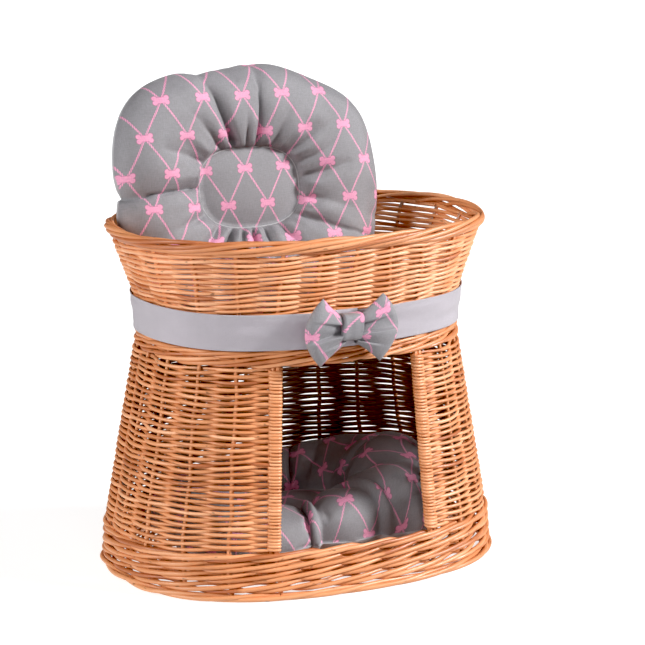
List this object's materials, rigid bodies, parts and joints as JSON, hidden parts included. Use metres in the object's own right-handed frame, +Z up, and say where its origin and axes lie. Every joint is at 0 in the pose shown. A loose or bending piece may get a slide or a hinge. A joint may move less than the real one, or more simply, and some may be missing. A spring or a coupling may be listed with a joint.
{
  "type": "wicker pet basket",
  "caption": "Two-level oval wicker pet basket: a cave with a doorway below, an open bed above, a ribbon with a bow round the waist, and loose padded cushions.",
  "frame": {"origin": "on the floor under the middle of the basket's foot", "axes": "+Z up, X along the length, the doorway and the bow face -Y"},
  "size_m": [0.5198, 0.3923, 0.6351],
  "materials": {
    "willow_weave": "honey-coloured steamed willow weave, satin",
    "willow_rod": "honey-coloured steamed willow rods, satin",
    "ribbon_cloth": "light grey plain woven cotton band, matt",
    "bow_cotton": "grey printed cotton, matt",
    "printed_cotton": "grey cotton printed with pink bones on rope lines, matt",
    "fibre_filling": "white polyester fibre"
  },
  "bodies": {
    "basket": {"foot_border": "willow_weave", "base_wale": "willow_weave", "lower_wall": "willow_weave", "waist_wale": "willow_weave", "upper_wall": "willow_weave", "rim_border": "willow_weave", "door_post_binding_left": "willow_weave", "door_post_binding_right": "willow_weave", "base_weave": "willow_weave", "upper_floor_weave": "willow_weave", "side_stake_01": "willow_rod", "side_stake_02": "willow_rod", "side_stake_03": "willow_rod", "side_stake_04": "willow_rod", "side_stake_05": "willow_rod", "side_stake_06": "willow_rod", "side_stake_07": "willow_rod", "side_stake_08": "willow_rod", "side_stake_09": "willow_rod", "side_stake_10": "willow_rod", "side_stake_11": "willow_rod", "side_stake_12": "willow_rod", "side_stake_13": "willow_rod", "side_stake_14": "willow_rod", "side_stake_15": "willow_rod", "side_stake_16": "willow_rod", "side_stake_17": "willow_rod", "side_stake_18": "willow_rod", "side_stake_19": "willow_rod", "side_stake_20": "willow_rod", "side_stake_21": "willow_rod", "door_stake_1": "willow_rod", "door_stake_2": "willow_rod", "door_stake_3": "willow_rod", "base_cross_stick_1": "willow_rod", "base_cross_stick_2": "willow_rod", "base_cross_stick_3": "willow_rod", "base_cross_stick_4": "willow_rod", "base_cross_stick_5": "willow_rod", "base_long_stick_1": "willow_rod", "base_long_stick_2": "willow_rod", "upper_floor_cross_stick_1": "willow_rod", "upper_floor_cross_stick_2": "willow_rod", "upper_floor_cross_stick_3": "willow_rod", "upper_floor_cross_stick_4": "willow_rod", "upper_floor_cross_stick_5": "willow_rod", "upper_floor_long_stick_1": "willow_rod", "upper_floor_long_stick_2": "willow_rod", "waist_ribbon": "ribbon_cloth", "bow_loop_left": "bow_cotton", "bow_loop_right": "bow_cotton", "bow_knot": "bow_cotton"},
    "upper_cushion": {"upper_cushion_cover_front": "printed_cotton", "upper_cushion_cover_back": "printed_cotton", "upper_cushion_filling": "fibre_filling"},
    "lower_cushion": {"lower_cushion_cover_front": "printed_cotton", "lower_cushion_cover_back": "printed_cotton", "lower_cushion_filling": "fibre_filling"}
  },
  "joints": [
    {"name": "upper_cushion_lift", "type": "slide", "parent": "basket", "child": "upper_cushion", "axis": [0, 0, 1], "range_m": [0, 0.2]},
    {"name": "lower_cushion_lift", "type": "slide", "parent": "basket", "child": "lower_cushion", "axis": [0, 0, 1], "range_m": [0, 0.12]}
  ]
}
